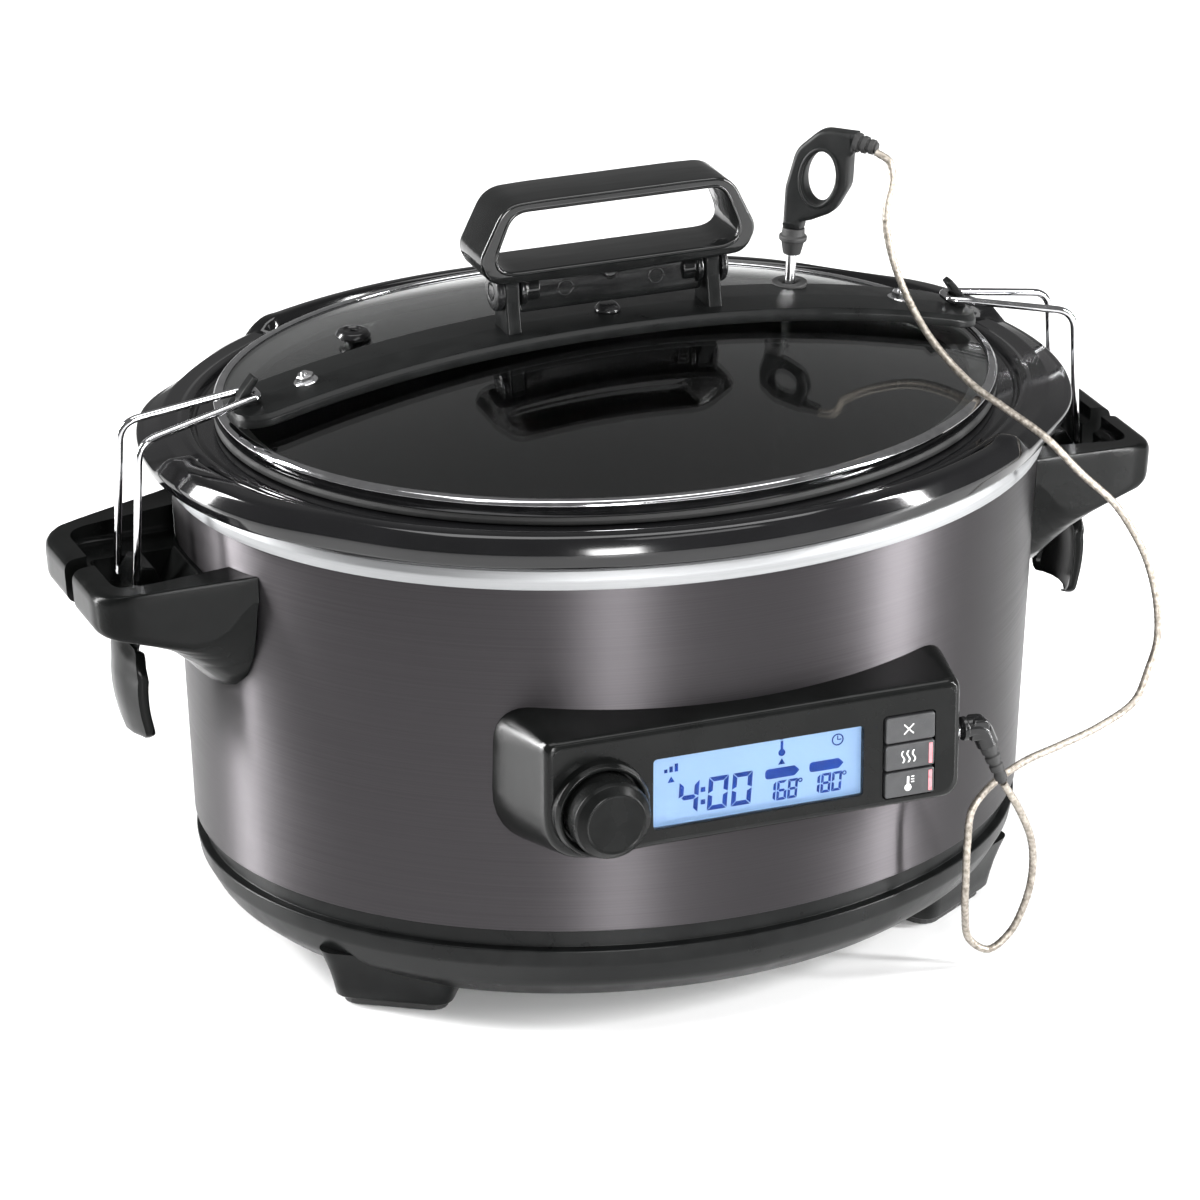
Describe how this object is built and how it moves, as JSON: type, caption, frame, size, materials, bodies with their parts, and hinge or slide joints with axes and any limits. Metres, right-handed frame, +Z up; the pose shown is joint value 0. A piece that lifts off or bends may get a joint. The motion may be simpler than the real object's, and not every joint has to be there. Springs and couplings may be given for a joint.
{
  "type": "slow cooker",
  "caption": "Oval countertop slow cooker with lift-out crock, clip-down glass lid with folding handle, digital control panel with dial, and a plug-in temperature probe.",
  "frame": {"origin": "on the surface it stands on, under the middle of the cooker's box (the oval's own axis is at Y = +8 mm)", "axes": "+Z up, +X along the oval towards the right-hand handle, -Y towards the control panel"},
  "size_m": [0.4352, 0.32, 0.3005],
  "materials": {
    "dark_shell": "black stainless, brushed round the oval",
    "ring_steel": "satin silver-grey",
    "chrome_wire": "polished",
    "bright_steel": "bright machined",
    "liner_aluminium": "plain sheet",
    "black_plastic": "fine moulded texture",
    "gloss_black": "satin gloss",
    "black_glaze": "glossy black stoneware glaze",
    "clear_glass": "clear tempered",
    "black_rubber": "matte",
    "steel_braid": "woven stainless braid",
    "lit_display": "backlit pale blue",
    "circuit_board": "green solder mask"
  },
  "bodies": {
    "base": {"base_pan": "black_plastic", "foot_pad_front_left": "black_rubber", "foot_pad_front_right": "black_rubber", "foot_pad_rear_left": "black_rubber", "foot_pad_rear_right": "black_rubber", "cord_gland": "black_rubber", "outer_shell": "dark_shell", "rim_ring": "ring_steel", "cooking_liner": "liner_aluminium", "heating_band": "liner_aluminium", "temperature_sensor": "liner_aluminium", "sensor_spring_cup": "bright_steel", "power_board": "circuit_board", "power_relay": "gloss_black", "side_handle_left": "black_plastic", "side_handle_right": "black_plastic", "lever_pin_left": "bright_steel", "lever_pin_right": "bright_steel", "control_bezel": "gloss_black", "lcd_lens": "clear_glass", "lcd_panel": "lit_display", "control_board": "circuit_board", "rotary_encoder": "bright_steel", "probe_jack": "bright_steel"},
    "dial": {"knob": "black_plastic", "encoder_shaft": "liner_aluminium"},
    "upper_key": {"key_upper": "black_plastic"},
    "middle_key": {"key_middle": "black_plastic"},
    "lower_key": {"key_lower": "black_plastic"},
    "pot": {"crock": "black_glaze"},
    "lid": {"lid_glass": "clear_glass", "lid_rim": "chrome_wire", "lid_gasket": "black_rubber", "lid_bar": "black_plastic", "bar_nut_left": "bright_steel", "bar_nut_right": "bright_steel", "handle_pin_left": "gloss_black", "handle_pin_right": "gloss_black", "bar_centre_screw": "black_plastic", "vent_grommet": "black_rubber", "probe_grommet": "black_rubber"},
    "lid_grip": {"lid_handle": "black_plastic"},
    "left_bail": {"bail_left": "chrome_wire"},
    "right_bail": {"bail_right": "chrome_wire"},
    "left_lever": {"latch_lever_left": "black_plastic"},
    "right_lever": {"latch_lever_right": "black_plastic"},
    "probe": {"probe_shaft": "bright_steel", "probe_boot": "black_rubber", "probe_handle": "black_plastic", "probe_relief": "black_rubber", "probe_cable": "steel_braid", "plug_body": "black_plastic", "plug_relief": "black_rubber"}
  },
  "joints": [
    {"name": "crock_lift", "type": "slide", "parent": "base", "child": "pot", "axis": [0, 0, 1], "range_m": [0, 0.15]},
    {"name": "lid_lift", "type": "slide", "parent": "pot", "child": "lid", "axis": [0, 0, 1], "range_m": [0, 0.15]},
    {"name": "lid_handle_fold", "type": "hinge", "parent": "lid", "child": "lid_grip", "pos_m": [0, 0.008, 0.254], "axis": [-1, 0, 0], "range_deg": [0, 85]},
    {"name": "left_lever_swing", "type": "hinge", "parent": "base", "child": "left_lever", "pos_m": [-0.19, 0.008, 0.153], "axis": [0, 1, 0], "range_deg": [0, 60]},
    {"name": "right_lever_swing", "type": "hinge", "parent": "base", "child": "right_lever", "pos_m": [0.19, 0.008, 0.153], "axis": [0, -1, 0], "range_deg": [0, 60]},
    {"name": "left_bail_swing", "type": "hinge", "parent": "lid", "child": "left_bail", "pos_m": [-0.143, 0.008, 0.226], "axis": [0, 1, 0], "range_deg": [0, 6]},
    {"name": "right_bail_swing", "type": "hinge", "parent": "lid", "child": "right_bail", "pos_m": [0.143, 0.008, 0.226], "axis": [0, -1, 0], "range_deg": [0, 6]},
    {"name": "probe_pull", "type": "slide", "parent": "lid", "child": "probe", "axis": [0.0698, 0, 0.9976], "range_m": [0, 0.13]},
    {"name": "dial_turn", "type": "hinge", "parent": "base", "child": "dial", "pos_m": [-0.0635, -0.15, 0.107], "axis": [0, -1, 0], "continuous": true},
    {"name": "upper_key_press", "type": "slide", "parent": "base", "child": "upper_key", "axis": [0, 1, 0], "range_m": [0, 0.0008], "stiffness_N_per_m": 800},
    {"name": "middle_key_press", "type": "slide", "parent": "base", "child": "middle_key", "axis": [0, 1, 0], "range_m": [0, 0.0008], "stiffness_N_per_m": 800},
    {"name": "lower_key_press", "type": "slide", "parent": "base", "child": "lower_key", "axis": [0, 1, 0], "range_m": [0, 0.0008], "stiffness_N_per_m": 800}
  ],
  "couplings": [
    {"joint": "left_bail_swing", "follows": "left_lever_swing", "ratio": 0.1},
    {"joint": "right_bail_swing", "follows": "right_lever_swing", "ratio": 0.1}
  ]
}
